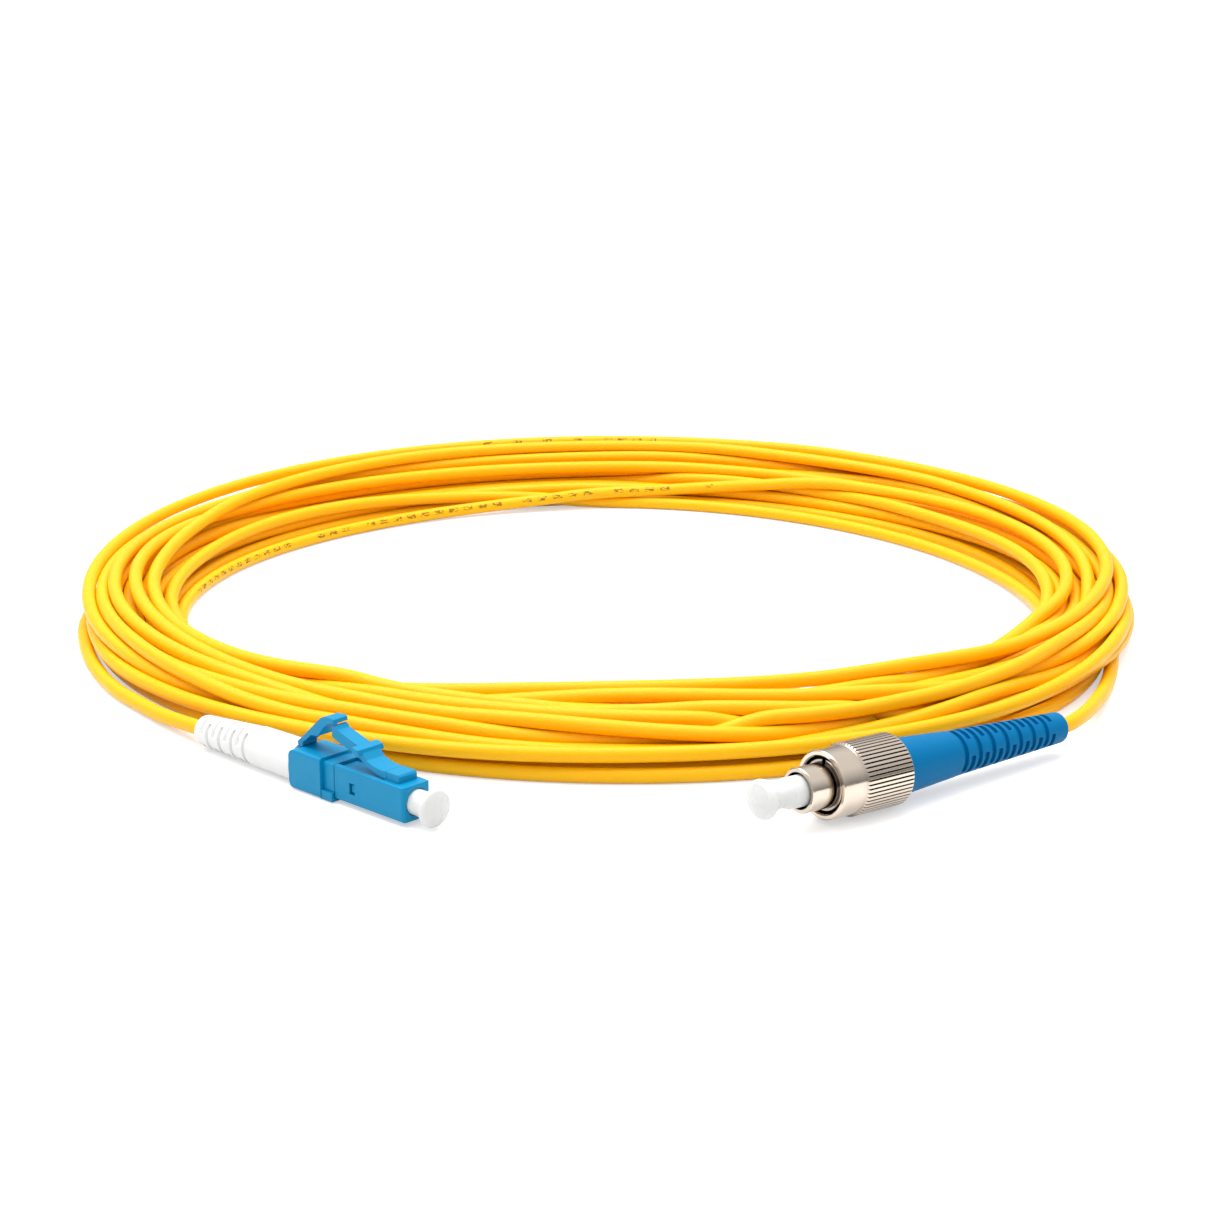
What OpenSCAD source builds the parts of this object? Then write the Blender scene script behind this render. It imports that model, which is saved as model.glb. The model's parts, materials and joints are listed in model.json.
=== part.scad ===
// Simplex fibre patch cord: a latched square plug on one end, a screw-on
// round plug on the other, and five metres of round cable in a flat coil.
// Millimetres. The origin is the middle of the coil, on the surface it lies on.

/* [Cable] */
// Outer diameter of the jacket
jacket_d = 2.1; // [2:0.1:2.2]
// Diameter of the buffered fibre inside the jacket
fibre_d = 0.9; // [0.8:0.05:1]
// Radius of the hole in the coil
coil_inner_r = 66.5; // [65:0.5:68]
// Radius of the outside of the coil
coil_outer_r = 83; // [82:0.5:83.5]
// Height of the coil
coil_h = 10; // [9:0.5:12]

/* [Where the plugs lie] */
// Front of the latched plug, along X
lc_x = -23.4; // [-26:0.1:-20]
// Front of the latched plug, along Y
lc_y = -96.9; // [-100:0.1:-94]
// Heading of the latched plug
lc_yaw = -43.5; // [-46:0.5:-41]
// Front of the screw plug, along X
fc_x = 23.3; // [20:0.1:26]
// Front of the screw plug, along Y
fc_y = -99.3; // [-102:0.1:-98]
// Heading of the screw plug
fc_yaw = 218; // [216:0.5:220]
// How far the screw plug leans back on its nut, boot end down
fc_lean = 1.9; // [0:0.1:2.2]

/* [Latched plug] */
// Width and height of the square housing
lc_body_w = 4.55; // [4.5:0.01:4.6]
// Length of the housing, front face to seam
lc_body_l = 12.9; // [12.8:0.1:13]
// Width of the rear clip
lc_clip_w = 5.6; // [5.5:0.1:5.8]
// Height of the rear clip
lc_clip_h = 5.4; // [5.3:0.1:5.6]
// Length of the rear clip
lc_clip_l = 6.2; // [6:0.1:6.4]
// Width of the latch arm
lc_latch_w = 3; // [2.8:0.1:3.2]
// Width across the latch ears
lc_ear_w = 4.2; // [4:0.1:4.3]
// Width of the trigger
lc_trigger_w = 2.4; // [2.2:0.1:2.6]
// Diameter of the boot where it meets the clip
lc_boot_front_d = 5.7; // [5.6:0.1:5.8]
// Diameter of the boot where its slots begin
lc_boot_mid_d = 5.4; // [5.3:0.1:5.6]
// Diameter of the boot at its cable end
lc_boot_end_d = 4.2; // [4.1:0.1:4.4]
// Length of the boot
lc_boot_l = 21; // [20.8:0.1:21.6]
// How far the slotted part of the boot sags
lc_boot_sag = 2.4; // [0:0.1:2.6]

/* [Screw plug] */
// Diameter of the knurled grip
fc_grip_d = 9.4; // [9.3:0.1:9.6]
// Ridges round the grip
fc_grip_ridges = 54; // [48:1:60]
// Diameter of the plain collar in front of the grip
fc_collar_d = 8.8; // [8.7:0.1:8.9]
// Length of the coupling nut
fc_nut_l = 11.8; // [11.6:0.1:12]
// Diameter of the front barrel
fc_barrel_d = 5.8; // [5.6:0.1:5.8]
// Diameter of the boot where it meets the nut
fc_boot_front_d = 7.5; // [7.4:0.1:7.6]
// Diameter of the boot where its slots begin
fc_boot_mid_d = 6.1; // [6:0.1:6.3]
// Diameter of the boot at its cable end
fc_boot_end_d = 4.2; // [4:0.1:4.4]
// Length of the boot
fc_boot_l = 31.2; // [31:0.1:31.6]

/* [Hidden] */
$fn = 64;

// Colours, as the pieces look
plastic_blue = [0.06, 0.46, 0.72];
rubber_blue = [0.0, 0.45, 0.7];
soft_white = [0.94, 0.94, 0.93];
nickel = [0.78, 0.74, 0.69];
zirconia = [0.95, 0.95, 0.92];
steel = [0.6, 0.6, 0.62];
yarn_gold = [0.85, 0.72, 0.35];
jacket_yellow = [1.0, 0.8, 0.05];

// Fits: pieces that touch, a gap between moulded pieces, a running gap, and a cut's overshoot
touch = 0.02;
gap = 0.05;
slack = 0.1;
over = 1;

// Each crimp: how far behind the body its sleeve begins, how far it reaches over the
// jacket, and how thick the yarn under it is
crimp_set = 0.3;
crimp_grip = 2;
yarn_wall = 0.15;

// The ribs of the two posts that the sleeves are crimped on
rib_h = 0.12;
rib_l = 0.55;

// Free room ahead of a ferrule's tip in its cap
cap_room = 0.4;

// The two standard ferrules
lc_ferrule_d = 1.25;
fc_ferrule_d = 2.5;

// The latched plug, from its front face backwards
lc_half = lc_body_w / 2;
lc_axis_z = lc_boot_front_d / 2 + gap;
lc_clip_top = lc_clip_h / 2 - gap;
lc_clip_floor = lc_clip_top - lc_clip_h;
lc_edge_r = 0.25;
lc_mouth_r = 1.75;
lc_mouth_l = 4.2;
lc_web_l = 1;
lc_cavity_r = 1.65;
lc_seam = 0.14;
lc_collar_x = -lc_body_l - 2.2;
lc_clip_end = lc_collar_x - lc_clip_l;
lc_clip_wall = 0.7;
lc_block_w = 4.4;
lc_block_h = 4.2;
lc_block_r = 0.2;
lc_hinge = [-4.35, 2.8];
lc_hinge_r = 0.52;
lc_press = [lc_clip_end + 0.55, 3];
lc_press_r = 0.5;
lc_window = [-9.6, -0.2];
lc_window_w = 1;
lc_window_h = 1.5;
lc_ferrule_rear = -6.4;
lc_ferrule_tip = 1.3;
lc_fibre_front = -9.1;
lc_flange_x = -lc_mouth_l - lc_web_l;
lc_flange_l = 1.5;
lc_spring_x = lc_flange_x - lc_flange_l - touch;
lc_spring_l = 5.8;
lc_seat_x = lc_spring_x - lc_spring_l - touch;
lc_post_r = 1.5;
lc_post_end = lc_clip_end - 5.2;
lc_jacket_end = lc_post_end - 1.2;
lc_boot_start = lc_clip_end - gap;
lc_boot_bend = lc_boot_start - 9;
lc_boot_end = lc_boot_start - lc_boot_l;

// The screw plug, from the rim of its barrel backwards
fc_barrel_r = fc_barrel_d / 2;
fc_nut_front = -3.8;
fc_nut_rear = fc_nut_front - fc_nut_l;
fc_axis_z = fc_grip_d / 2 * cos(fc_lean) - fc_nut_rear * sin(fc_lean);
fc_collar_l = 3.65;
fc_thread_r = 3.65;
fc_groove_r = 4.15;
fc_ring_x = -13.5;
fc_ring_l = 0.8;
fc_body_r = 2.95;
fc_cavity_r = 2.3;
fc_web_x = -5;
fc_web_l = 1;
fc_stop_x = -9.6;
fc_stop_l = 0.9;
fc_barrel_end = -14.9;
fc_ferrule_rear = -7.4;
fc_ferrule_tip = 1;
fc_fibre_front = -10;
fc_flange_x = fc_web_x - fc_web_l;
fc_flange_l = 1.5;
fc_spring_x = fc_flange_x - fc_flange_l - touch;
fc_spring_l = 5.8;
fc_seat_x = fc_spring_x - fc_spring_l - touch;
fc_post_r = 1.7;
fc_post_end = fc_nut_rear - 6.6;
fc_jacket_end = fc_post_end - 1.2;
fc_boot_start = fc_nut_rear - slack;
fc_boot_bend = fc_boot_start - 10;
fc_boot_end = fc_boot_start - fc_boot_l;

// A point on each plug's own axis, x millimetres ahead of its front
function on_lc_axis(x) = [
    lc_x + x * cos(lc_yaw), lc_y + x * sin(lc_yaw),
    lc_axis_z + min(x - lc_boot_bend, 0) * sin(lc_boot_sag)
];
function on_fc_axis(x) = [
    fc_x + x * cos(fc_lean) * cos(fc_yaw), fc_y + x * cos(fc_lean) * sin(fc_yaw),
    fc_axis_z + x * sin(fc_lean)
];

// Height of the cable's middle where it lies on the surface below
floor_z = jacket_d / 2;

// Where each free end of the cable runs, from its boot to the coil
lc_tail_route = concat(
    [on_lc_axis(lc_jacket_end), on_lc_axis(lc_boot_bend), on_lc_axis(lc_boot_end)],
    [
        [-57.4, -63.7, 1.9], [-61.6, -58.6, 1.4], [-65.9, -52.6, 1.2],
        [-69.8, -46.8, floor_z], [-73.3, -40, floor_z], [-76.3, -32.6, floor_z],
        [-79, -23.6, floor_z], [-81.2, -13, floor_z]
    ]
);
fc_tail_route = concat(
    [on_fc_axis(fc_jacket_end), on_fc_axis(fc_boot_bend), on_fc_axis(fc_boot_end)],
    [
        [62, -68.6, 3.5], [64.1, -64.9, 3.2], [66.1, -60.4, 2.7],
        [68.2, -54.9, 2.1], [70.5, -48.4, 1.5], [72.4, -42.2, 1.2],
        [73.9, -36.4, floor_z], [75.2, -30.4, floor_z], [76.6, -23.4, floor_z],
        [77.9, -15, floor_z]
    ]
);
tail_sides = 8;

// Places a piece on the latched plug's axis, +X out of its front
module on_lc() {
    translate([lc_x, lc_y, lc_axis_z]) rotate([0, 0, lc_yaw]) children();
}

// Places a piece on the screw plug's axis, +X out of its front
module on_fc() {
    translate([fc_x, fc_y, fc_axis_z]) rotate([0, -fc_lean, fc_yaw]) children();
}

// Turns a half outline of [radius, x] points about the plug's axis
module lathe(outline) {
    rotate([0, 90, 0]) rotate_extrude() polygon(outline);
}

// A plain tube or rod from x1 back to x0
module tube(x0, x1, outer_r, inner_r = 0) {
    lathe([[inner_r, x0], [outer_r, x0], [outer_r, x1], [inner_r, x1]]);
}

// A rectangle with round corners
module rounded_rect(w, h, r) {
    square([w - 2 * r, h], center = true);
    square([w, h - 2 * r], center = true);
    for (sx = [-1, 1], sy = [-1, 1])
        translate([sx * (w / 2 - r), sy * (h / 2 - r)]) circle(r);
}

// A bar along the plug's axis with round long edges
module rounded_bar(x0, x1, w, h, r, z = 0) {
    translate([x0, 0, z]) rotate([90, 0, 90]) linear_extrude(x1 - x0) rounded_rect(w, h, r);
}

// A side view of [x, z] points, drawn w wide across the plug
module side_view(outline, w) {
    rotate([90, 0, 0]) linear_extrude(w, center = true) polygon(outline);
}

// A pin across the plug, through [x, z]
module cross_pin(at, r, w) {
    translate([at[0], 0, at[1]]) rotate([90, 0, 0]) cylinder(r = r, h = w, center = true);
}

// A coil spring along the plug's axis, from x0 forwards
module coil_spring(x0, length, coil_r, wire_r, turns) {
    steps = 16;
    sides = 6;
    rings = turns * steps;
    rise = (length - 2 * wire_r) / rings;
    points = [
        for (i = [0:rings], k = [0:sides - 1])
            let (turn = i * 360 / steps, round = k * 360 / sides, r = coil_r + wire_r * cos(round))
            [x0 + wire_r + i * rise + wire_r * sin(round), r * cos(turn), r * sin(turn)]
    ];
    walls = [
        for (i = [0:rings - 1], k = [0:sides - 1])
            let (a = i * sides + k, b = i * sides + (k + 1) % sides)
            [a, a + sides, b + sides, b]
    ];
    first = [[for (k = [0:sides - 1]) k]];
    last = [[for (k = [sides - 1:-1:0]) rings * sides + k]];
    polyhedron(points, concat(first, walls, last), convexity = 8);
}

// Direction of a route at its point i
function heading(route, i) =
    let (
        a = route[max(i - 1, 0)],
        b = route[min(i + 1, len(route) - 1)]
    ) (b - a) / norm(b - a);

// A round cable along a route
module cable(route) {
    last_ring = len(route) - 1;
    points = [
        for (i = [0:last_ring])
            let (
                along = heading(route, i),
                flat = cross(along, [0, 0, 1]),
                side = flat / norm(flat),
                up = cross(side, along)
            )
            for (k = [0:tail_sides - 1])
                let (round = k * 360 / tail_sides)
                route[i] + jacket_d / 2 * (cos(round) * side + sin(round) * up)
    ];
    walls = [
        for (i = [0:last_ring - 1], k = [0:tail_sides - 1])
            let (a = i * tail_sides + k, b = i * tail_sides + (k + 1) % tail_sides)
            [a, b, b + tail_sides, a + tail_sides]
    ];
    first = [[for (k = [tail_sides - 1:-1:0]) k]];
    last = [[for (k = [0:tail_sides - 1]) last_ring * tail_sides + k]];
    polyhedron(points, concat(first, walls, last), convexity = 4);
}

// A strain-relief boot: a plain grip over the crimp, and a tail round the cable with rows of
// slots that alternate between two opposite sides and the two sides between them. The tail
// tapers to a round end and can sag a little; roll turns all its slots about the axis
module slotted_boot(x0, bend_x, x1, front_d, mid_d, end_d, crimp_r, crimp_x, slot_x, rows, pitch,
                    slot_w, roll, sag = 0) {
    mid_r = mid_d / 2;
    end_r = end_d / 2;
    tail_r = mid_r - gap;
    round_r = 0.7;
    lap = 0.3;
    cable_r = jacket_d / 2 + gap;
    slot_depth = 0.5;
    slot_arc = 134;
    taper = (tail_r - end_r) / (bend_x - x1);
    end_round = [
        for (turn = [0:15:90])
            [end_r - round_r * (1 - cos(turn)), x1 + round_r * (1 - sin(turn))]
    ];
    difference() {
        union() {
            lathe([[0, bend_x], [mid_r, bend_x], [front_d / 2, x0], [0, x0]]);
            sagged(bend_x, sag) difference() {
                lathe(concat(
                    [[0, bend_x + lap], [tail_r + lap * taper, bend_x + lap]],
                    end_round,
                    [[0, x1]]
                ));
                for (row = [0:rows - 1], side = [0, 180]) {
                    x = slot_x - row * pitch / 2;
                    floor_r = tail_r - taper * (bend_x - x) - slot_depth;
                    turn = side + roll + (row % 2 == 0 ? 90 : 0) - slot_arc / 2;
                    rotate([0, 90, 0]) rotate([0, 0, turn]) rotate_extrude(angle = slot_arc)
                        translate([floor_r, x - slot_w / 2]) square([over, slot_w]);
                }
            }
        }
        tube(crimp_x, x0 + over, crimp_r);
        tube(bend_x - lap, x0, cable_r + slack);
        sagged(bend_x, sag) tube(x1 - over, bend_x + lap, cable_r);
    }
}

// Tilts what lies behind bend_x downwards about that point of the plug's axis
module sagged(bend_x, sag) {
    translate([bend_x, 0, 0]) rotate([0, -sag, 0]) translate([-bend_x, 0, 0]) children();
}

// A metal sleeve crimped over the yarn and, past a step, over the jacket
module crimp_sleeve(x0, step_x, x1, yarn_r) {
    wall = 0.28;
    jacket_r = jacket_d / 2 + touch;
    lathe([
        [yarn_r, x0], [yarn_r + wall, x0], [yarn_r + wall, step_x - wall],
        [jacket_r + wall, step_x - 2 * wall], [jacket_r + wall, x1], [jacket_r, x1],
        [jacket_r, step_x - wall], [yarn_r, step_x]
    ]);
}

// A dust cap: a sleeve for the ferrule, a waisted neck and a domed head to pull on
module dust_cap(x0, x1, sleeve_r, bore_r, bore_end, head_r, rim_l, waist = 0) {
    rim_r = rim_l / 2;
    flat_r = head_r - rim_r;
    dome_r = 5;
    dome_h = dome_r - sqrt(dome_r * dome_r - flat_r * flat_r);
    waist_r = 3;
    waist_x = x1 - 1.65;
    rotate([0, 90, 0]) rotate_extrude() difference() {
        union() {
            translate([0, x0]) square([sleeve_r, x1 - x0 + rim_r]);
            translate([0, x1]) square([flat_r, rim_l]);
            translate([flat_r, x1 + rim_r]) circle(rim_r);
            intersection() {
                translate([0, x1 + rim_l + dome_h - dome_r]) circle(dome_r);
                translate([0, x1 + rim_r]) square([flat_r, rim_l]);
            }
        }
        translate([0, x0 - over]) square([bore_r, bore_end - x0 + over]);
        if (waist > 0)
            translate([sleeve_r + waist_r - waist, waist_x]) circle(waist_r);
    }
}

// The square front of the latched plug: mouth, ferrule web, snap windows, a pocket
// under the latch and the block that the latch grows from
module lc_plug_housing() {
    front_r = 0.5;
    web_bore = 1;
    root_top = 3.35;
    root_front = -1.6;
    root_bevel = 0.25;
    root_foot = lc_half - 0.2;
    pocket_z = lc_half - 0.15;
    pocket_l = lc_body_l + lc_hinge[0] + over;
    pocket_slope = 2;
    color(plastic_blue) on_lc() difference() {
        union() {
            intersection() {
                rounded_bar(-lc_body_l, 0, lc_body_w, lc_body_w, lc_edge_r);
                translate([-lc_body_l, 0, -lc_body_w]) linear_extrude(2 * lc_body_w)
                    translate([lc_body_l / 2 - over, 0])
                        rounded_rect(lc_body_l + 2 * over, lc_body_w, front_r);
            }
            side_view([
                [root_front, root_foot], [root_front, root_top - root_bevel],
                [root_front - root_bevel, root_top], [lc_hinge[0], root_top],
                [lc_hinge[0], root_foot]
            ], lc_latch_w);
        }
        tube(-lc_mouth_l, over, lc_mouth_r);
        tube(lc_flange_x - gap, -lc_mouth_l + gap, web_bore);
        tube(-lc_body_l - over, lc_flange_x, lc_cavity_r);
        translate([lc_window[0], 0, lc_window[1]])
            cube([lc_window_w, lc_body_w + over, lc_window_h], center = true);
        cross_pin(lc_hinge, lc_hinge_r + gap, lc_body_w);
        translate([lc_hinge[0], 0, pocket_z]) rotate([0, -pocket_slope, 0]) linear_extrude(over)
            translate([-pocket_l, -lc_latch_w / 2 - slack]) square([pocket_l, lc_latch_w + 2 * slack]);
    }
}

// The latch: a springy arm with ears that catch in the socket and a tail for the thumb
module lc_latch_arm() {
    tail_w = 2.1;
    color(plastic_blue) on_lc() {
        cross_pin(lc_hinge, lc_hinge_r, lc_latch_w);
        side_view([
            lc_hinge, [lc_hinge[0], 3.3], [-5.2, 3.32], [-6.5, 3.5], [-7.6, 3.9],
            [-8.6, 4.9], [-9.6, 5.15], [-9.6, 4.25], [-8.6, 3.75], [-7.3, 3.05],
            [-5.6, 2.5], [lc_hinge[0], 2.32]
        ], lc_latch_w);
        side_view([[-8.3, 4.45], [-8.5, 5.1], [-9.6, 5.35], [-9.6, 4.55], [-9, 4.3]], lc_ear_w);
        side_view([
            [-9.3, 5.15], [-13.6, 6.4], [-14, 6.8], [-14.3, 6.85], [-14.5, 6.75],
            [-14.6, 5.5], [-14.4, 5.2], [-13.3, 4.8], [-10.6, 4.2], [-9.3, 3.95]
        ], tail_w);
    }
}

// The backbone behind the housing: a tube for the spring with two snap lugs, a collar
// flush with the housing, a block inside the clip and a ribbed post for the crimp
module lc_backbone() {
    collar_w = lc_body_w - gap;
    block_w = lc_block_w - slack;
    block_h = lc_block_h - slack;
    tube_r = lc_cavity_r - gap;
    tube_bore = 1.35;
    tube_front = -8.8;
    fibre_r = fibre_d / 2 + slack;
    lug = [lc_window_w - 0.5, lc_body_w - 0.5, lc_window_h - 0.5];
    block_rear = lc_clip_end + lc_clip_wall + gap;
    color(plastic_blue) on_lc() difference() {
        union() {
            tube(-lc_body_l - over, tube_front, tube_r);
            translate([lc_window[0], 0, lc_window[1]]) cube(lug, center = true);
            rounded_bar(lc_collar_x, -lc_body_l - lc_seam, collar_w, collar_w, lc_edge_r);
            rounded_bar(block_rear, lc_collar_x + slack, block_w, block_h, lc_block_r);
            tube(lc_post_end, lc_collar_x, lc_post_r - rib_h);
            for (i = [0:3])
                tube(lc_post_end + 2 * i * rib_l, lc_post_end + (2 * i + 1) * rib_l, lc_post_r);
        }
        tube(lc_seat_x, 0, tube_bore);
        tube(lc_post_end - over, lc_seat_x + over, fibre_r);
    }
}

// The clip that wraps the backbone and carries the trigger
module lc_rear_clip() {
    post_hole_r = 2;
    edge_r = 0.45;
    foot_x = lc_collar_x - 0.2;
    foot_l = 2.3;
    foot_h = 1.2;
    foot_w = lc_clip_w - 0.2;
    foot_floor = lc_clip_floor + gap;
    rail_w = 0.48;
    heel_r = 1.1;
    z_mid = lc_clip_top - lc_clip_h / 2;
    sole_h = -lc_half - gap - foot_floor;
    color(plastic_blue) on_lc() difference() {
        union() {
            intersection() {
                rounded_bar(lc_clip_end, lc_collar_x, lc_clip_w, lc_clip_h, edge_r, z_mid);
                translate([lc_clip_end + lc_clip_l / 2 + over, 0, z_mid]) rotate([90, 0, 0])
                    linear_extrude(lc_clip_w + over, center = true)
                        rounded_rect(lc_clip_l + 2 * over, lc_clip_h, heel_r);
            }
            translate([foot_x, -foot_w / 2, foot_floor]) cube([foot_l, foot_w, sole_h]);
            for (side = [-1, 1])
                translate([foot_x, side * (foot_w - rail_w) / 2 - rail_w / 2, foot_floor])
                    cube([foot_l, rail_w, foot_h]);
        }
        rounded_bar(lc_clip_end + lc_clip_wall, lc_collar_x + over, lc_block_w, lc_block_h, lc_block_r);
        rounded_bar(lc_collar_x, over, lc_body_w, lc_body_w, lc_edge_r);
        tube(lc_clip_end - over, lc_collar_x, post_hole_r);
        cross_pin(lc_press, lc_press_r + gap, lc_clip_w + over);
    }
}

// The trigger: a lever on the clip whose tip presses the latch's tail
module lc_trigger() {
    color(plastic_blue) on_lc() {
        cross_pin(lc_press, lc_press_r, lc_trigger_w);
        translate([lc_press[0], 0, lc_press[1]]) side_view([
            [-0.4, 0.25], [1.35, 1.8], [2.8, 3.15], [4.15, 4.35], [4.75, 4.65],
            [6.25, 4.75], [6.6, 4.6], [6.65, 4.1], [6.2, 4.03], [5.5, 3.83],
            [4.7, 3.2], [4, 2.35], [3.45, 1.75], [2.15, 1.6], [1.35, 0.9], [0.4, 0.15]
        ], lc_trigger_w);
    }
}

// A polished ceramic ferrule with a chamfered tip
module ferrule(x0, tip, r) {
    chamfer = 0.16 * r + 0.1;
    lathe([[0, x0], [r, x0], [r, tip - 2 * chamfer], [r - chamfer, tip], [0, tip]]);
}

module lc_ferrule() {
    color(zirconia) on_lc() ferrule(lc_ferrule_rear, lc_ferrule_tip, lc_ferrule_d / 2);
}

// The metal holder of the small ferrule: a boss, a six-sided collar and a tail tube
module lc_ferrule_flange() {
    collar_r = 1.5;
    boss_r = 0.92;
    boss_front = -3.9;
    tail_r = 0.75;
    tail_end = -10.4;
    fibre_hole = -7.4;
    color(steel) on_lc() difference() {
        union() {
            tube(lc_flange_x - slack, boss_front, boss_r);
            translate([lc_flange_x - lc_flange_l, 0, 0]) rotate([0, 90, 0])
                cylinder(r = collar_r, h = lc_flange_l - touch, $fn = 6);
            tube(tail_end, lc_flange_x - lc_flange_l + slack, tail_r);
        }
        tube(lc_ferrule_rear, 0, lc_ferrule_d / 2);
        tube(tail_end - over, fibre_hole, fibre_d / 2 + slack);
    }
}

module lc_spring() {
    color(steel) on_lc() coil_spring(
        x0 = lc_spring_x - lc_spring_l, length = lc_spring_l, coil_r = 1.05, wire_r = 0.15, turns = 6
    );
}

module lc_crimp_sleeve() {
    color(nickel) on_lc() crimp_sleeve(
        x0 = lc_clip_end - crimp_set, step_x = lc_post_end - slack,
        x1 = lc_jacket_end - crimp_grip, yarn_r = lc_post_r + yarn_wall + touch
    );
}

module lc_aramid_yarn() {
    color(yarn_gold) on_lc()
        tube(lc_post_end, lc_clip_end - crimp_set - slack, lc_post_r + yarn_wall, lc_post_r + touch);
}

module lc_fibre() {
    color(jacket_yellow) on_lc() tube(lc_jacket_end, lc_fibre_front, fibre_d / 2);
}

module lc_boot() {
    color(soft_white) on_lc() slotted_boot(
        x0 = lc_boot_start, bend_x = lc_boot_bend, x1 = lc_boot_end, front_d = lc_boot_front_d,
        mid_d = lc_boot_mid_d, end_d = lc_boot_end_d, crimp_r = 2.05,
        crimp_x = lc_jacket_end - crimp_grip - slack, slot_x = lc_boot_bend - 0.6, rows = 8,
        pitch = 2.7, slot_w = 0.6, roll = 15, sag = lc_boot_sag
    );
}

module lc_dust_cap() {
    color(soft_white) on_lc()
        dust_cap(
            x0 = -2.8, x1 = 2.6, sleeve_r = lc_mouth_r - slack,
            bore_r = lc_ferrule_d / 2 + gap, bore_end = lc_ferrule_tip + cap_room,
            head_r = 2.5, rim_l = 1
        );
}

// The coupling nut: a plain collar, a straight-knurled grip with a bevelled front, a
// bore for the socket's thread and a groove for the retaining ring
module fc_coupling_nut() {
    grip_r = fc_grip_d / 2;
    collar_r = fc_collar_d / 2;
    valley_r = collar_r + 0.03;
    bevel = grip_r - collar_r + gap;
    rim_bevel = 0.15;
    lead_in = 0.18;
    ring_front = fc_ring_x + slack;
    ring_rear = fc_ring_x - fc_ring_l - slack;
    grip_front = fc_nut_front - fc_collar_l;
    step = 360 / fc_grip_ridges;
    grip = [
        for (i = [0:fc_grip_ridges - 1], p = [[-0.3, grip_r], [0.3, grip_r], [0.5, valley_r]])
            [p[1] * cos((i + p[0]) * step), p[1] * sin((i + p[0]) * step)]
    ];
    color(nickel) on_fc() difference() {
        union() {
            intersection() {
                translate([fc_nut_rear, 0, 0]) rotate([0, 90, 0])
                    linear_extrude(grip_front - fc_nut_rear) polygon(grip);
                lathe([
                    [0, fc_nut_rear], [grip_r - bevel, fc_nut_rear], [grip_r + touch, fc_nut_rear + bevel],
                    [grip_r + touch, grip_front - bevel], [grip_r - bevel, grip_front], [0, grip_front]
                ]);
            }
            lathe([
                [0, grip_front - slack], [collar_r, grip_front - slack],
                [collar_r, fc_nut_front - rim_bevel], [collar_r - rim_bevel, fc_nut_front],
                [0, fc_nut_front]
            ]);
        }
        lathe([
            [0, fc_nut_rear - over], [fc_thread_r, fc_nut_rear - over],
            [fc_thread_r, ring_rear], [fc_groove_r, ring_rear],
            [fc_groove_r, ring_front], [fc_thread_r, ring_front],
            [fc_thread_r, fc_nut_front - lead_in], [fc_thread_r + lead_in, fc_nut_front],
            [fc_thread_r + lead_in, fc_nut_front + over], [0, fc_nut_front + over]
        ]);
    }
}

// The split ring in the nut's groove, which stops it at the barrel's shoulder
module fc_retaining_ring() {
    split = 0.8;
    color(steel) on_fc() difference() {
        tube(fc_ring_x - fc_ring_l, fc_ring_x, fc_groove_r - gap, fc_body_r + gap);
        translate([fc_ring_x - fc_ring_l / 2, 0, fc_groove_r])
            cube([fc_ring_l + over, split, fc_groove_r], center = true);
    }
}

// The barrel: a thin front tube, a shoulder that stops the nut, a web for the ferrule
// and a cavity for its spring
module fc_barrel() {
    wall = 0.55;
    web_bore = 1.5;
    rim_bevel = 0.15;
    stop_r = fc_thread_r - 0.25;
    color(nickel) on_fc() difference() {
        lathe([
            [0, fc_barrel_end], [fc_body_r, fc_barrel_end], [fc_body_r, fc_stop_x - fc_stop_l],
            [stop_r, fc_stop_x - fc_stop_l], [stop_r, fc_stop_x], [fc_barrel_r, fc_stop_x],
            [fc_barrel_r, -rim_bevel], [fc_barrel_r - rim_bevel, 0], [0, 0]
        ]);
        tube(fc_web_x, over, fc_barrel_r - wall);
        tube(fc_flange_x - gap, fc_web_x + gap, web_bore);
        tube(fc_barrel_end - over, fc_flange_x, fc_cavity_r);
    }
}

// The ring on the barrel whose slot takes the key that sets the plug's turn
module fc_key_ring() {
    ring_r = 3.35;
    ring_x = -4.1;
    ring_rear = -7;
    ring_bevel = 0.12;
    key_w = 0.6;
    key_l = 1.8;
    color(nickel) on_fc() difference() {
        lathe([
            [fc_barrel_r + touch, ring_rear], [ring_r, ring_rear], [ring_r, ring_x - ring_bevel],
            [ring_r - ring_bevel, ring_x], [fc_barrel_r + touch, ring_x]
        ]);
        translate([ring_x - key_l, -key_w / 2, 0]) cube([key_l + over, key_w, ring_r + over]);
    }
}

module fc_ferrule() {
    color(zirconia) on_fc() ferrule(fc_ferrule_rear, fc_ferrule_tip, fc_ferrule_d / 2);
}

// The metal holder of the large ferrule: a boss, a collar with a flat key slot and a tail
module fc_ferrule_flange() {
    collar_r = fc_cavity_r - slack;
    boss_r = 1.42;
    boss_front = -4.7;
    tail_r = 1.3;
    tail_end = -11.4;
    fibre_hole = -8.2;
    key_w = 0.8;
    color(steel) on_fc() difference() {
        union() {
            tube(fc_flange_x - slack, boss_front, boss_r);
            tube(fc_flange_x - fc_flange_l, fc_flange_x - touch, collar_r);
            tube(tail_end, fc_flange_x - fc_flange_l + slack, tail_r);
        }
        tube(fc_ferrule_rear, 0, fc_ferrule_d / 2);
        tube(tail_end - over, fibre_hole, fibre_d / 2 + slack);
        translate([fc_flange_x - fc_flange_l / 2, 0, collar_r])
            cube([fc_flange_l + slack, key_w, key_w], center = true);
    }
}

module fc_spring() {
    color(steel) on_fc() coil_spring(
        x0 = fc_spring_x - fc_spring_l, length = fc_spring_l, coil_r = 1.8, wire_r = 0.22, turns = 5
    );
}

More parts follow.
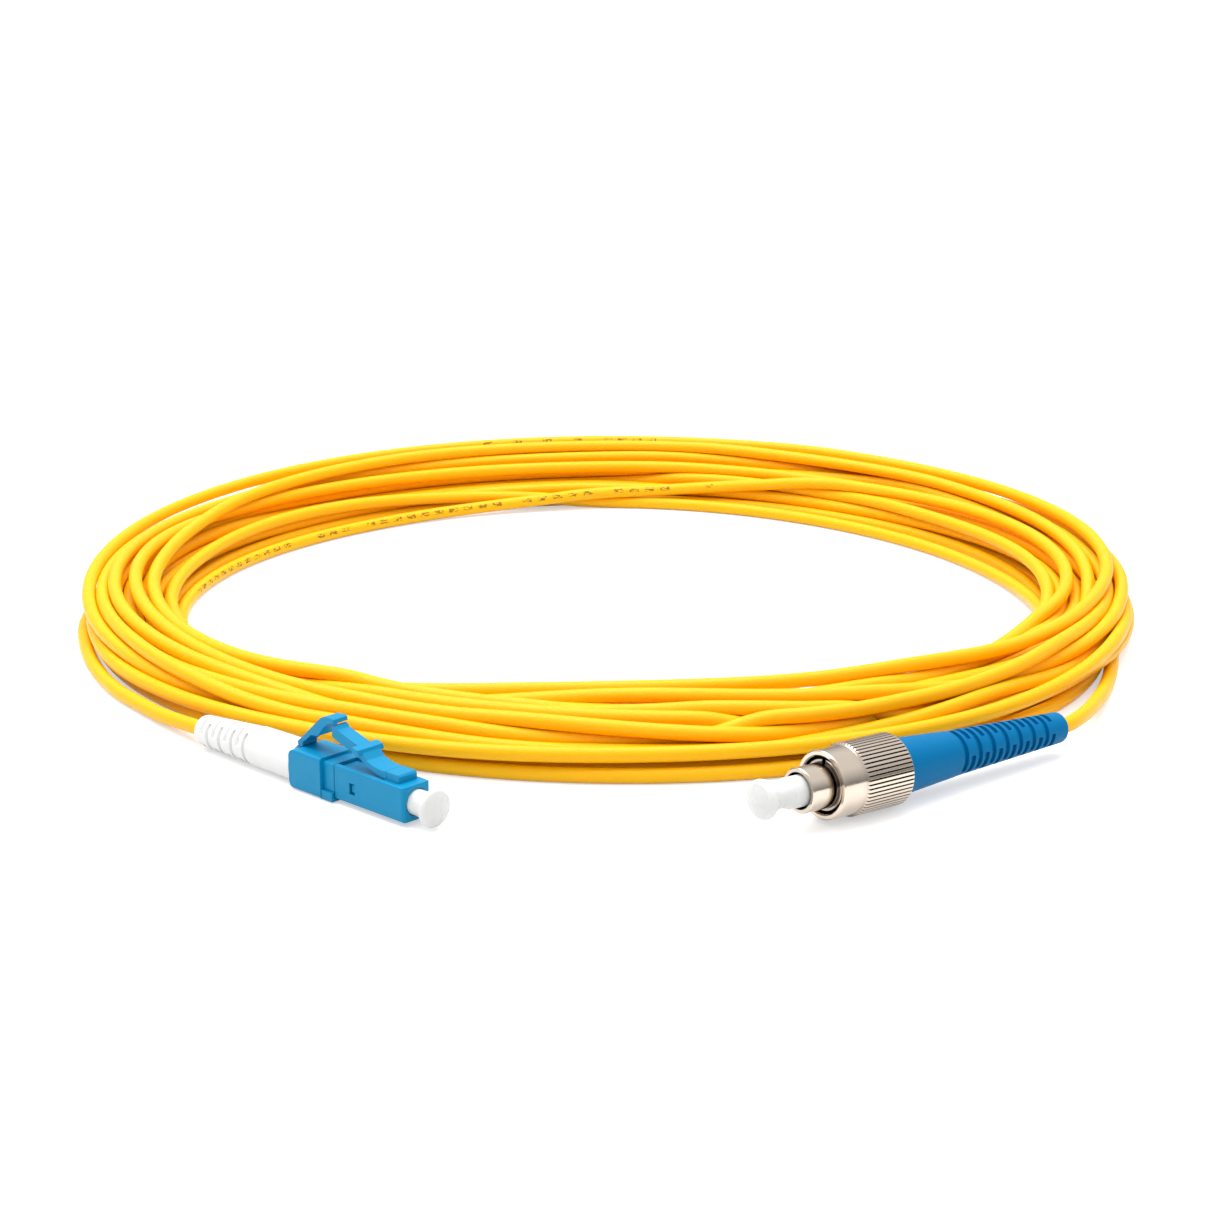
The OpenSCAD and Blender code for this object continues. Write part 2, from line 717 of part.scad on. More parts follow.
// The rear body: a plug in the barrel's tail, a shoulder and a ribbed post for the crimp
module fc_rear_body() {
    shoulder_r = fc_body_r + 0.3;
    shoulder_l = fc_barrel_end - fc_nut_rear;
    color(nickel) on_fc() difference() {
        union() {
            tube(fc_barrel_end - slack, fc_seat_x, fc_cavity_r - touch);
            tube(fc_nut_rear, fc_barrel_end - touch, shoulder_r);
            tube(fc_post_end, fc_barrel_end - shoulder_l / 2, fc_post_r - rib_h);
            for (i = [0:4])
                tube(fc_post_end + 2 * i * rib_l, fc_post_end + (2 * i + 1) * rib_l, fc_post_r);
        }
        tube(fc_post_end - over, fc_seat_x + over, fibre_d / 2 + slack);
    }
}

module fc_crimp_sleeve() {
    color(nickel) on_fc() crimp_sleeve(
        x0 = fc_nut_rear - crimp_set, step_x = fc_post_end - slack,
        x1 = fc_jacket_end - crimp_grip, yarn_r = fc_post_r + yarn_wall + touch
    );
}

module fc_aramid_yarn() {
    color(yarn_gold) on_fc()
        tube(fc_post_end, fc_nut_rear - crimp_set - slack, fc_post_r + yarn_wall, fc_post_r + touch);
}

module fc_fibre() {
    color(jacket_yellow) on_fc() tube(fc_jacket_end, fc_fibre_front, fibre_d / 2);
}

module fc_boot() {
    color(rubber_blue) on_fc() slotted_boot(
        x0 = fc_boot_start, bend_x = fc_boot_bend, x1 = fc_boot_end, front_d = fc_boot_front_d,
        mid_d = fc_boot_mid_d, end_d = fc_boot_end_d, crimp_r = 2.25,
        crimp_x = fc_jacket_end - crimp_grip - slack, slot_x = fc_boot_bend - 0.7, rows = 14,
        pitch = 2.63, slot_w = 0.8, roll = 28
    );
}

module fc_dust_cap() {
    color(soft_white) on_fc()
        dust_cap(
            x0 = -3.4, x1 = 5, sleeve_r = 2,
            bore_r = fc_ferrule_d / 2 + gap, bore_end = fc_ferrule_tip + cap_room,
            head_r = 2.55, rim_l = 1.5, waist = 0.35
        );
}

// The wound cable, as the ring that its turns fill
module cable_coil() {
    corner = 3.5;
    w = coil_outer_r - coil_inner_r;
    color(jacket_yellow) rotate_extrude($fn = 128)
        translate([coil_inner_r + w / 2, coil_h / 2]) rounded_rect(w, coil_h, corner);
}

module lc_cable_tail() {
    color(jacket_yellow) cable(lc_tail_route);
}

module fc_cable_tail() {
    color(jacket_yellow) cable(fc_tail_route);
}

lc_plug_housing();
lc_latch_arm();
lc_backbone();
lc_rear_clip();
lc_trigger();
lc_ferrule();
lc_ferrule_flange();
lc_spring();
lc_crimp_sleeve();
lc_aramid_yarn();
lc_fibre();
lc_boot();
lc_dust_cap();
fc_coupling_nut();
fc_retaining_ring();
fc_barrel();
fc_key_ring();
fc_ferrule();
fc_ferrule_flange();
fc_spring();
fc_rear_body();
fc_crimp_sleeve();
fc_aramid_yarn();
fc_fibre();
fc_boot();
fc_dust_cap();
cable_coil();
lc_cable_tail();
fc_cable_tail();
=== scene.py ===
"""Looks of a coiled fibre patch cord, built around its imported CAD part."""

import json
import math

import bmesh
import bpy
import numpy as np
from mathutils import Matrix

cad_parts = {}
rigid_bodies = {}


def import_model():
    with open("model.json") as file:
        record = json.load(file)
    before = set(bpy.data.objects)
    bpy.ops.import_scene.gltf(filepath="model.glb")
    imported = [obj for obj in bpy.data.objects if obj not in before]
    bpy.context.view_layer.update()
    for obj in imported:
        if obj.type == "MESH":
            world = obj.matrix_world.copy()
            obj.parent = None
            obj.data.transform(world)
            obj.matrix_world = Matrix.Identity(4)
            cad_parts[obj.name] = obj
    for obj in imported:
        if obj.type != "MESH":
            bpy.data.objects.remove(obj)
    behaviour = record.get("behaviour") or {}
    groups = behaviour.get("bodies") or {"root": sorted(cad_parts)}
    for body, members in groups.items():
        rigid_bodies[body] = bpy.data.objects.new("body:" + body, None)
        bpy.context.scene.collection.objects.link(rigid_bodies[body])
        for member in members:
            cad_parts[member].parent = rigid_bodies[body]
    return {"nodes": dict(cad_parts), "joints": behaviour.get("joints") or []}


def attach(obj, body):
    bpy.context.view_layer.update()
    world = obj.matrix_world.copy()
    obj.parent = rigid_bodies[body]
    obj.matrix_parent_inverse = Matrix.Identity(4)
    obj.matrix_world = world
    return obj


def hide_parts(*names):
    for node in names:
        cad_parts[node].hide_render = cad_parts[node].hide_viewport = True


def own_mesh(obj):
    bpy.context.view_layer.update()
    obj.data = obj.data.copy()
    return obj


bl_info = {
    "name": "Fibre patch cord",
    "version": (1, 0, 0),
    "blender": (4, 5, 0),
    "location": "View3D > Sidebar > Patch cord",
    "description": "Builds the cable, the plugs' finishes and the stage of a coiled fibre patch cord",
    "category": "Object",
}

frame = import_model()

MM = 0.001

# Corners of a copied CAD mesh that lie this near to each other, in metres, become one
MERGE_DISTANCE = 1e-6

# Steps of the winding from one station to the next, and of the drawn cable in each of those steps
STATION_PARTS = 9
LINE_PARTS = 3

# Where each turn lies at eight places round the coil, as (radius, height) in millimetres. Each list
# goes from the latched plug's end of the cable to the screw plug's end.
LEFT = [
    (81.6, 1.1), (80.1, 3.9), (78.8, 1.1), (76.0, 1.5), (71.6, 6.3), (73.4, 3.4),
    (81.2, 7.4), (67.6, 1.1), (77.8, 8.2), (69.6, 3.6), (74.6, 8.6),
]
BACK_LEFT = [
    (82.0, 1.1), (80.6, 4.0), (79.1, 1.1), (76.4, 2.2), (75.6, 9.6), (73.8, 3.2),
    (81.9, 9.3), (65.2, 1.1), (77.6, 7.2), (70.3, 4.2), (74.4, 6.6),
]
BACK = [
    (81.9, 1.6), (80.8, 4.4), (79.0, 1.5), (77.0, 3.8), (78.8, 9.3), (74.2, 3.0),
    (81.8, 9.8), (67.6, 1.8), (76.4, 7.2), (68.6, 1.1), (73.7, 6.2),
]
BACK_RIGHT = [
    (79.5, 4.2), (79.8, 1.1), (76.6, 2.4), (81.0, 2.8), (77.7, 8.5), (70.3, 3.4),
    (80.9, 9.7), (73.4, 6.6), (80.8, 6.4), (64.8, 1.1), (76.6, 5.5),
]
RIGHT = [
    (79.6, 4.5), (79.0, 1.5), (76.1, 1.8), (81.6, 4.0), (76.4, 7.9), (70.0, 5.9),
    (79.8, 9.4), (73.4, 7.4), (81.4, 6.8), (67.6, 1.1), (79.6, 1.1),
]
FRONT_RIGHT = [
    (83.2, 3.6), (78.4, 1.1), (83.2, 1.1), (80.4, 3.3), (75.4, 1.5), (72.5, 1.6),
    (73.4, 6.9), (70.8, 5.6), (77.6, 4.6), (75.0, 4.2),
]
FRONT = [
    (81.1, 3.9), (79.6, 1.1), (82.4, 1.1), (72.9, 6.4), (75.9, 6.7), (73.2, 3.4),
    (67.0, 9.0), (76.2, 3.2), (70.0, 8.0), (78.4, 5.1),
]
FRONT_LEFT = [
    (82.2, 3.6), (80.4, 1.1), (77.6, 1.1), (72.4, 3.6), (70.8, 3.8), (79.3, 4.2),
    (68.2, 3.4), (76.4, 5.4), (70.4, 1.5), (73.3, 6.4),
]
STATIONS = [LEFT, BACK_LEFT, BACK, BACK_RIGHT, RIGHT, FRONT_RIGHT, FRONT, FRONT_LEFT]

# Turns that lie inside the bundle, each as (radius, height), the turn that they come before, how far
# their heights rise with the radius at the back and fall with it at the front, and from which radius
BURIED = [
    (69.4, 1.1), (71.6, 1.1), (73.8, 1.1), (76.0, 1.1), (78.2, 1.4),
    (79.8, 6.6), (77.4, 5.6), (75.2, 4.8), (73.4, 3.2), (71.8, 2.4),
]
BURIED_BEFORE = 4
BURIED_LEAN = 0.35
COIL_MIDDLE = 75.0

# The free ends of the cable in millimetres, from inside each boot to the coil
LATCHED_END = [
    (-45.4, -76.0, 2.9), (-48.3, -73.3, 2.73), (-51.2, -70.5, 2.57), (-54.1, -67.7, 2.4),
    (-57.4, -63.7, 1.9), (-61.6, -58.6, 1.4), (-65.9, -52.6, 1.2), (-69.8, -46.8, 1.05),
    (-73.3, -40.0, 1.05), (-76.3, -32.6, 1.05), (-79.0, -23.6, 1.05), (-81.2, -13.0, 1.05),
]
SCREW_END = [
    (50.1, -78.4, 4.09), (53.5, -75.7, 3.95), (56.9, -73.1, 3.8), (60.2, -70.4, 3.66),
    (62.0, -68.6, 3.5), (64.1, -64.9, 3.2), (66.1, -60.4, 2.7), (68.2, -54.9, 2.1),
    (70.5, -48.4, 1.5), (72.4, -42.2, 1.2), (73.9, -36.4, 1.05), (75.2, -30.4, 1.05),
    (76.6, -23.4, 1.05), (77.9, -15.0, 1.05),
]

# The first points of each free end, which lie inside its boot
BOOT_POINTS = 4

# How the winding settles: the room that a strand claims in diameters, how far it straightens and goes
# back to its place in each step, the share of that pull left in the last step, how far it sinks in
# millimetres, and how often and how strongly the turns then push each other apart
CLAIMED_ROOM = 1.015
STRAIGHTEN = 0.35
PULL_BACK = 0.06
PULL_LEFT = 0.4
SINK = 0.004
PUSH_ROUNDS = 4
PUSH_SHARE = 0.7

# How far off the winding's unused places wait, in millimetres, and the least distance divided by
OUT_OF_REACH = 1000.0
LEAST_DISTANCE = 1e-6

# Stretches of the cable that carry printed marks, in turns from the start of the coil
PRINTED = [(17.01, 17.3), (16.2, 16.27), (3.49, 3.53)]

# The printed marks, in metres along the cable: a dot, and a block of dots with the gap after it.
# DOT_ROWS go round the whole cable, and the marks lie between two of them. A block fills a share of
# its pitch, some dots and blocks stay empty, and the ink covers the jacket in part.
DOT_LENGTH = 0.00042
BLOCK_PITCH = 0.0029
DOT_ROWS = 34.0
FIRST_ROW = 0.5
LAST_ROW = 4.5
BLOCK_SHARE = 0.62
EMPTY_DOTS = 0.42
EMPTY_BLOCKS = 0.2
MARK_STRENGTH = 0.75

# Colours of the finishes that have no setting
MARK_BROWN = (0.16, 0.07, 0.005)
BOOT_WHITE = (0.87, 0.87, 0.86)
CAP_WHITE = (0.78, 0.785, 0.77)
NICKEL = (0.66, 0.57, 0.48)
STEEL = (0.6, 0.6, 0.62)
CERAMIC = (0.9, 0.9, 0.86)
YARN_GOLD = (0.62, 0.42, 0.09)
BUFFER_WHITE = (0.85, 0.85, 0.8)

# How deep light goes into the jacket and into white plastic, in metres, and its spread by colour
JACKET_DEPTH = 0.0007
JACKET_SPREAD = (1.0, 0.42, 0.03)
PLASTIC_DEPTH = 0.0008
PLASTIC_SPREAD = (1.0, 0.95, 0.9)

# Grains per metre on each kind of surface, how many times finer its relief is, how strong that
# relief is, and its depth in metres
JACKET_GRAIN = 300.0
PLASTIC_GRAIN = 900.0
METAL_GRAIN = 700.0
RELIEF_SCALE = 9.0
RELIEF_STRENGTH = 0.25
JACKET_RELIEF = 0.000006
PLASTIC_RELIEF = 0.000004

# Painted shade in the creases of metal: how far it reaches in metres, how dark it gets and how quickly
CREASE_REACH = 0.0014
CREASE_SHADE = 0.06
CREASE_FALL = 1.3

# The stage in metres, with the sensor in millimetres: the camera, the floor, the lamp and the sky,
# which turns from its lower colour to its upper one on the way up
SENSOR_WIDTH = 36.0
CAMERA_CLIP = (0.01, 50.0)
CAMERA_LIFT = 0.0001
FLOOR_HALF = 8.0
FLOOR_GREY = (0.7, 0.7, 0.7, 1.0)
FLOOR_GLOW = 0.5
LAMP_SIZE = (1.2, 0.8)
LAMP_PLACE = (-0.15, 0.1, 0.9)
LAMP_TILT = (math.radians(-6.0), math.radians(-9.0), 0.0)
SKY_BELOW = (0.2, 0.2, 0.2, 1.0)
SKY_ABOVE = (1.0, 1.0, 1.0, 1.0)
SKY_TURN = 0.6

# Which finish each CAD piece takes
FINISHES = {
    "plug_blue": ["lc_plug_housing", "lc_latch_arm", "lc_backbone", "lc_rear_clip", "lc_trigger"],
    "boot_white": ["lc_boot"],
    "boot_blue": ["fc_boot"],
    "cap_white": ["lc_dust_cap", "fc_dust_cap"],
    "nickel_plate": [
        "fc_coupling_nut", "fc_barrel", "fc_key_ring", "fc_rear_body",
        "lc_crimp_sleeve", "fc_crimp_sleeve",
    ],
    "bright_steel": [
        "lc_ferrule_flange", "fc_ferrule_flange", "lc_spring", "fc_spring", "fc_retaining_ring",
    ],
    "zirconia": ["lc_ferrule", "fc_ferrule"],
    "aramid": ["lc_aramid_yarn", "fc_aramid_yarn"],
    "fibre_buffer": ["lc_fibre", "fc_fibre"],
}

# The joint that presses each spring
SPRINGS = {"lc_spring": "lc_ferrule_float", "fc_spring": "fc_ferrule_float"}


class CableSettings(bpy.types.PropertyGroup):
    """How the cable is wound and drawn"""

    diameter: bpy.props.FloatProperty(
        name="Diameter", description="Outer diameter of the jacket",
        default=0.0021, min=0.0015, max=0.003, unit="LENGTH", precision=4,
    )
    length: bpy.props.FloatProperty(
        name="Length", description="Length of the cable from boot to boot",
        default=9.9, min=8.0, max=12.0, unit="LENGTH",
    )
    settle_steps: bpy.props.IntProperty(
        name="Settling steps", description="How long the turns push each other into place",
        default=260, min=50, max=600,
    )
    sides: bpy.props.IntProperty(
        name="Sides", description="Sides of the cable's round section",
        default=14, min=8, max=24,
    )
    jacket: bpy.props.FloatVectorProperty(
        name="Jacket", description="Colour of the jacket",
        subtype="COLOR", default=(1.0, 0.52, 0.0), min=0.0, max=1.0,
    )
    marks: bpy.props.BoolProperty(
        name="Printed marks", description="Draw a line of plain printed marks along the jacket",
        default=True,
    )


class PlugSettings(bpy.types.PropertyGroup):
    """How the plugs are finished"""

    body: bpy.props.FloatVectorProperty(
        name="Plug plastic", description="Colour of the latched plug's mouldings",
        subtype="COLOR", default=(0.0, 0.265, 0.51), min=0.0, max=1.0,
    )
    boot: bpy.props.FloatVectorProperty(
        name="Screw plug boot", description="Colour of the screw plug's boot",
        subtype="COLOR", default=(0.0, 0.165, 0.39), min=0.0, max=1.0,
    )
    edge: bpy.props.FloatProperty(
        name="Edge rounding", description="Radius of the soft edges on the mouldings",
        default=0.00012, min=0.0, max=0.0005, unit="LENGTH", precision=5,
    )


class StageSettings(bpy.types.PropertyGroup):
    """The camera, floor and light"""

    distance: bpy.props.FloatProperty(
        name="Camera distance", description="From the camera to the middle of the coil",
        default=0.402, min=0.2, max=2.0, unit="LENGTH",
    )
    elevation: bpy.props.FloatProperty(
        name="Camera elevation", description="Angle of the camera above the floor",
        default=math.radians(16), min=0.0, max=1.5, subtype="ANGLE",
    )
    lens: bpy.props.FloatProperty(
        name="Lens", description="Focal length on a 36 mm sensor, in millimetres",
        default=74.14, min=20.0, max=200.0,
    )
    key_power: bpy.props.FloatProperty(
        name="Key light", description="Power of the large light overhead, in watts",
        default=10.8, min=0.0, max=100.0,
    )


# Nodes and materials


def add_node(tree, kind, **inputs):
    """A shader node with some of its sockets set"""
    node = tree.nodes.new(kind)
    for name, value in inputs.items():
        node.inputs[name.replace("_", " ")].default_value = value
    return node


def new_material(name):
    """An empty material, its node tree and its principled shader"""
    material = bpy.data.materials.new(name)
    material.use_nodes = True
    tree = material.node_tree
    shader = tree.nodes["Principled BSDF"]
    return material, tree, shader


def math_node(tree, operation, first, second=None):
    """A maths node between sockets or numbers"""
    node = tree.nodes.new("ShaderNodeMath")
    node.operation = operation
    for socket, value in zip(node.inputs, (first, second)):
        if value is None:
            continue
        if isinstance(value, (int, float)):
            socket.default_value = value
        else:
            tree.links.new(value, socket)
    return node.outputs["Value"]


def blend_colours(tree, share, first, second, target):
    """Sends a blend of two colours to a socket"""
    mix = tree.nodes.new("ShaderNodeMix")
    mix.data_type = "RGBA"
    mix.inputs["A"].default_value = (*first, 1.0)
    mix.inputs["B"].default_value = (*second, 1.0)
    tree.links.new(share, mix.inputs["Factor"])
    tree.links.new(mix.outputs["Result"], target)


def grain(tree, shader, scale, rough, relief=0.0, edge=0.0):
    """Slow changes between two roughnesses, a fine relief and soft edges"""
    place = tree.nodes.new("ShaderNodeTexCoord")
    noise = add_node(tree, "ShaderNodeTexNoise", Scale=scale, Detail=3.0, Roughness=0.6)
    tree.links.new(place.outputs["Object"], noise.inputs["Vector"])
    low, high = rough
    spread = add_node(tree, "ShaderNodeMapRange", From_Min=0.3, From_Max=0.7, To_Min=low, To_Max=high)
    tree.links.new(noise.outputs["Fac"], spread.inputs["Value"])
    tree.links.new(spread.outputs["Result"], shader.inputs["Roughness"])
    normal = None
    if edge > 0.0:
        normal = add_node(tree, "ShaderNodeBevel", Radius=edge)
        normal.samples = 6
    if relief > 0.0:
        fine = add_node(tree, "ShaderNodeTexNoise", Scale=scale * RELIEF_SCALE, Detail=2.0)
        tree.links.new(place.outputs["Object"], fine.inputs["Vector"])
        bump = add_node(tree, "ShaderNodeBump", Strength=RELIEF_STRENGTH, Distance=relief)
        tree.links.new(fine.outputs["Fac"], bump.inputs["Height"])
        if normal is not None:
            tree.links.new(normal.outputs["Normal"], bump.inputs["Normal"])
        normal = bump
    if normal is not None:
        tree.links.new(normal.outputs["Normal"], shader.inputs["Normal"])


def moulded(name, colour, rough, edge, soft=0.0, shine=0.22):
    """A moulded plastic or rubber"""
    material, tree, shader = new_material(name)
    shader.inputs["Base Color"].default_value = (*colour, 1.0)
    shader.inputs["Specular IOR Level"].default_value = shine
    if soft > 0.0:
        shader.inputs["Subsurface Weight"].default_value = soft
        shader.inputs["Subsurface Radius"].default_value = PLASTIC_SPREAD
        shader.inputs["Subsurface Scale"].default_value = PLASTIC_DEPTH
    grain(tree, shader, PLASTIC_GRAIN, rough, relief=PLASTIC_RELIEF, edge=edge)
    return material


def metal(name, colour, rough, edge):
    """A plated or bare metal, with painted shade in its creases, such as the grooves of the knurl"""
    material, tree, shader = new_material(name)
    shader.inputs["Metallic"].default_value = 1.0
    grain(tree, shader, METAL_GRAIN, rough, edge=edge)
    # Painted shade: the colour darkens towards a near-black copy of itself where ambient occlusion
    # finds creases and hollows
    crease = add_node(tree, "ShaderNodeAmbientOcclusion", Distance=CREASE_REACH)
    crease.samples = 8
    painted_shade = [CREASE_SHADE * part for part in colour]
    open_share = math_node(tree, "POWER", crease.outputs["AO"], CREASE_FALL)
    blend_colours(tree, open_share, painted_shade, colour, shader.inputs["Base Color"])
    return material


def printed_marks(tree, stretches):
    """A mask of small blocks along some stretches of the cable, which spell nothing"""
    chart = tree.nodes.new("ShaderNodeUVMap")
    chart.uv_map = "along"
    parts = tree.nodes.new("ShaderNodeSeparateXYZ")
    tree.links.new(chart.outputs["UV"], parts.inputs["Vector"])
    along = parts.outputs["X"]
    row = math_node(tree, "MULTIPLY", parts.outputs["Y"], DOT_ROWS)
    column = math_node(tree, "DIVIDE", along, DOT_LENGTH)
    cell = tree.nodes.new("ShaderNodeCombineXYZ")
    tree.links.new(math_node(tree, "FLOOR", column), cell.inputs["X"])
    tree.links.new(math_node(tree, "FLOOR", row), cell.inputs["Y"])
    speckle = tree.nodes.new("ShaderNodeTexWhiteNoise")
    speckle.noise_dimensions = "2D"
    tree.links.new(cell.outputs["Vector"], speckle.inputs["Vector"])
    dots = math_node(tree, "GREATER_THAN", speckle.outputs["Value"], EMPTY_DOTS)
    above = math_node(tree, "GREATER_THAN", row, FIRST_ROW)
    below = math_node(tree, "LESS_THAN", row, LAST_ROW)
    block = math_node(tree, "DIVIDE", along, BLOCK_PITCH)
    in_block = math_node(tree, "LESS_THAN", math_node(tree, "FRACT", block), BLOCK_SHARE)
    choice = tree.nodes.new("ShaderNodeTexWhiteNoise")
    choice.noise_dimensions = "1D"
    tree.links.new(math_node(tree, "FLOOR", block), choice.inputs["W"])
    filled = math_node(tree, "GREATER_THAN", choice.outputs["Value"], EMPTY_BLOCKS)
    printed = None
    for start, end in stretches:
        after = math_node(tree, "GREATER_THAN", along, start)
        before = math_node(tree, "LESS_THAN", along, end)
        stretch = math_node(tree, "MULTIPLY", after, before)
        printed = stretch if printed is None else math_node(tree, "ADD", printed, stretch)
    mask = dots
    for part in (above, below, in_block, filled, printed):
        mask = math_node(tree, "MULTIPLY", mask, part)
    return mask


def jacket_material(settings, stretches):
    """The yellow jacket, with a line of plain marks where they are asked for"""
    material, tree, shader = new_material("jacket_yellow")
    shader.inputs["Base Color"].default_value = (*settings.jacket, 1.0)
    shader.inputs["Specular IOR Level"].default_value = 0.25
    shader.inputs["Subsurface Weight"].default_value = 0.3
    shader.inputs["Subsurface Radius"].default_value = JACKET_SPREAD
    shader.inputs["Subsurface Scale"].default_value = JACKET_DEPTH
    grain(tree, shader, JACKET_GRAIN, rough=(0.36, 0.48), relief=JACKET_RELIEF)
    if settings.marks:
        ink = math_node(tree, "MULTIPLY", printed_marks(tree, stretches), MARK_STRENGTH)
        blend_colours(tree, ink, settings.jacket, MARK_BROWN, shader.inputs["Base Color"])
    return material


# The winding of the cable


def smooth_line(points, parts):
    """A curve through the points, with a number of parts between each pair"""
    ends = np.vstack([2 * points[0] - points[1], points, 2 * points[-1] - points[-2]])
    before, here, after, beyond = ends[:-3], ends[1:-2], ends[2:-1], ends[3:]
    rows = []
    for part in range(parts):
        share = part / parts
        rows.append(0.5 * (
            2 * here + (after - before) * share
            + (2 * before - 5 * here + 4 * after - beyond) * share * share
            + (3 * here - before - 3 * after + beyond) * share ** 3
        ))
    line = np.stack(rows, axis=1).reshape(-1, points.shape[1])
    return np.vstack([line, points[-1:]])


def lengths_along(line):
    """How far each point lies from the start, measured along the line"""
    return np.concatenate([[0.0], np.cumsum(np.linalg.norm(np.diff(line, axis=0), axis=1))])


def tail_places(points):
    """The angle, radius and height of each point of a free end, in degrees and millimetres"""
    x, y, z = np.array(points).T
    return np.degrees(np.arctan2(y, x)), np.hypot(x, y), z


def winding_stops():
    """The places that the strand passes, turn after turn, with the buried turns among them"""
    places_round = len(STATIONS)
    stops = []
    for turn, left in enumerate(LEFT):
        if turn == BURIED_BEFORE:
            for here, after in zip(BURIED, BURIED[1:] + [left]):
                for place in range(places_round):
                    share = place / places_round
                    radius = here[0] + share * (after[0] - here[0])
                    height = here[1] + share * (after[1] - here[1])
                    side = math.sin(math.pi * (1.0 - 2.0 * share))
                    lean = BURIED_LEAN * side * abs(side)
                    stops.append((radius, height + lean * (radius - COIL_MIDDLE)))
        stops += [places[turn] for places in STATIONS if turn < len(places)]
    return stops


def lay_tails(grid, step):
    """Puts the free ends beside the first and last turns, up to where each joins the coil"""
    for row, points, meeting in ((-2, LATCHED_END, -180.0), (-1, SCREW_END, 0.0)):
        angle, radius, height = tail_places(points[BOOT_POINTS:])
        order = np.argsort(angle)
        for column in range(grid.shape[2]):
            bearing = 180.0 - column * step
            bearing = (bearing + 180.0) % 360.0 - 180.0
            if angle.min() <= bearing <= angle.max() and abs(bearing - meeting) > step:
                grid[0, row, column] = np.interp(bearing, angle[order], radius[order])
                grid[1, row, column] = np.interp(bearing, angle[order], height[order])


def push_apart(grid, free, reach, lowest):
    """Moves strands that lie too near to each other apart, and keeps them above the floor"""
    gap = grid[:, :, None, :] - grid[:, None, :, :]
    apart = np.sqrt((gap * gap).sum(axis=0)) + LEAST_DISTANCE
    push = np.maximum(0.0, reach - apart) / apart * 0.5
    itself = np.arange(grid.shape[1])
    push[itself, itself] = 0.0
    grid += PUSH_SHARE * free * (gap * push).sum(axis=2)
    grid[1] = np.where(free > 0.0, np.maximum(grid[1], lowest), grid[1])


def settle_turns(diameter, steps):
    """Winds the strand through its places, then lets its turns push each other apart and down"""
    columns = STATION_PARTS * len(STATIONS)
    step = 360.0 / columns
    turns = len(LEFT) + len(BURIED)
    target = smooth_line(np.array(winding_stops()), STATION_PARTS).T
    count = target.shape[1]
    travel = np.arange(count) * step
    rows = turns + 2
    grid = np.zeros((2, rows, columns))
    grid[0] = OUT_OF_REACH * np.arange(1, rows + 1)[:, None]
    lay_tails(grid, step)
    strand = target.copy()
    flat = grid.reshape(2, -1)
    free = np.zeros(rows * columns)
    free[1:count - 1] = 1.0
    free = free.reshape(rows, columns)
    reach = diameter / MM * CLAIMED_ROOM
    lowest = diameter / MM / 2.0
    for done in range(steps):
        loose = 1.0 - done / steps
        middle = 0.5 * (strand[:, :-2] + strand[:, 2:])
        strand[:, 1:-1] += STRAIGHTEN * (middle - strand[:, 1:-1])
        strand += PULL_BACK * (PULL_LEFT + (1.0 - PULL_LEFT) * loose) * (target - strand)
        strand[1, 1:-1] -= SINK
        flat[:, :count] = strand
        for _ in range(PUSH_ROUNDS):
            push_apart(grid, free, reach, lowest)
        strand = flat[:, :count].copy()
    bearing = np.radians(180.0 - travel)
    return np.stack([strand[0] * np.cos(bearing), strand[0] * np.sin(bearing), strand[1]], axis=1)


def tube_mesh(name, line, radius, sides):
    """A round tube along a line, with a chart of its length and its turn round the section"""
    ahead = np.gradient(line, axis=0)
    ahead /= np.linalg.norm(ahead, axis=1)[:, None]
    inward = np.cross(ahead, (0.0, 0.0, 1.0))
    inward /= np.linalg.norm(inward, axis=1)[:, None]
    above = np.cross(inward, ahead)
    turn = np.arange(sides) * 2.0 * math.pi / sides
    across = np.cos(turn)[None, :, None] * inward[:, None, :]
    upright = np.sin(turn)[None, :, None] * above[:, None, :]
    points = (line[:, None, :] + radius * (across + upright)).reshape(-1, 3)
    rings = len(line)
    faces = []
    charts = []
    along = lengths_along(line)
    for ring in range(rings - 1):
        here = ring * sides
        beyond = here + sides
        start, end = along[ring], along[ring + 1]
        for side in range(sides):
            beside = (side + 1) % sides
            faces.append((here + side, here + beside, beyond + beside, beyond + side))
            left, right = side / sides, (side + 1) / sides
            charts += [(start, left), (start, right), (end, right), (end, left)]
    mesh = bpy.data.meshes.new(name)
    mesh.from_pydata(points.tolist(), [], faces)
    chart = mesh.uv_layers.new(name="along")
    chart.data.foreach_set("uv", np.array(charts, dtype=np.float32).ravel())
    mesh.polygons.foreach_set("use_smooth", [True] * len(mesh.polygons))
    mesh.update()
    return mesh


def show(name, mesh):
    """Puts a mesh in the scene as an object at the origin"""
    piece = bpy.data.objects.new(name, mesh)
    bpy.context.scene.collection.objects.link(piece)
    return piece


def merged_copy(mesh):
    """A copy of a CAD mesh with its loose triangles joined"""
    copy = mesh.copy()
    solid = bmesh.new()
    solid.from_mesh(copy)
    bmesh.ops.remove_doubles(solid, verts=solid.verts, dist=MERGE_DISTANCE)
    solid.to_mesh(copy)
    solid.free()
    return copy


